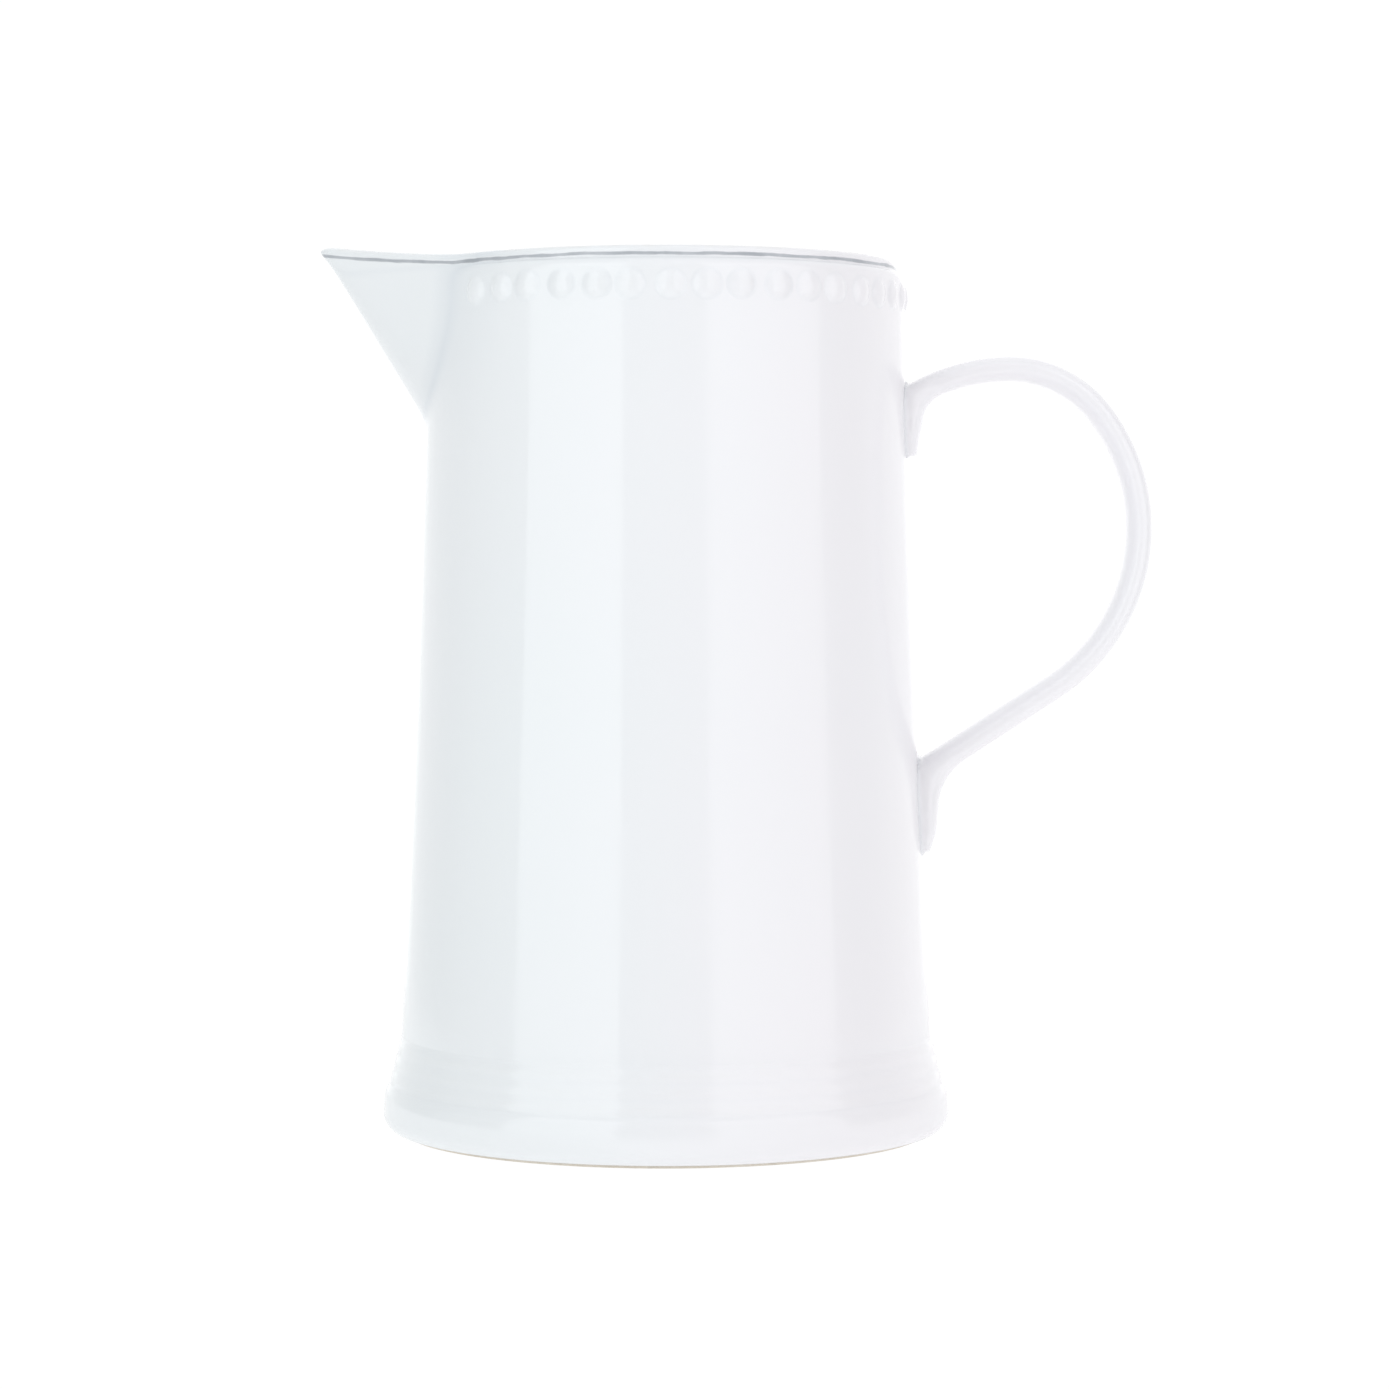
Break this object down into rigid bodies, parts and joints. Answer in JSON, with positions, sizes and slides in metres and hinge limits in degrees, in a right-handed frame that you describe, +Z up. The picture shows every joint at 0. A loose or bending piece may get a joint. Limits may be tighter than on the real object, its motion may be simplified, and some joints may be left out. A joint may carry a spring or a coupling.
{
  "type": "ceramic pitcher",
  "caption": "Tall tapered ceramic pitcher with a pointed V spout, a looped strap handle, a row of raised beads under a painted rim line and a ribbed foot band.",
  "frame": {"origin": "on the body's axis, at the level of the surface that the foot ring stands on", "axes": "+Z up along the body's axis, spout towards -X, handle towards +X; the XZ plane is the plane of symmetry"},
  "size_m": [0.2282, 0.1556, 0.2424],
  "materials": {
    "white_glaze": "glossy clear glaze over a white body",
    "line_glaze": "hand-painted grey-blue line under the same glossy glaze",
    "bare_clay": "unglazed, fine-grained and matte"
  },
  "bodies": {
    "root": {"body_wall": "white_glaze", "base_floor": "white_glaze", "foot_ring": "bare_clay", "plinth_band": "white_glaze", "rim_lip": "white_glaze", "rim_line": "line_glaze", "bead_row": "white_glaze", "spout": "white_glaze", "spout_line": "line_glaze", "handle_strap": "white_glaze", "handle_upper_tail": "white_glaze", "handle_lower_tail": "white_glaze"}
  },
  "joints": []
}
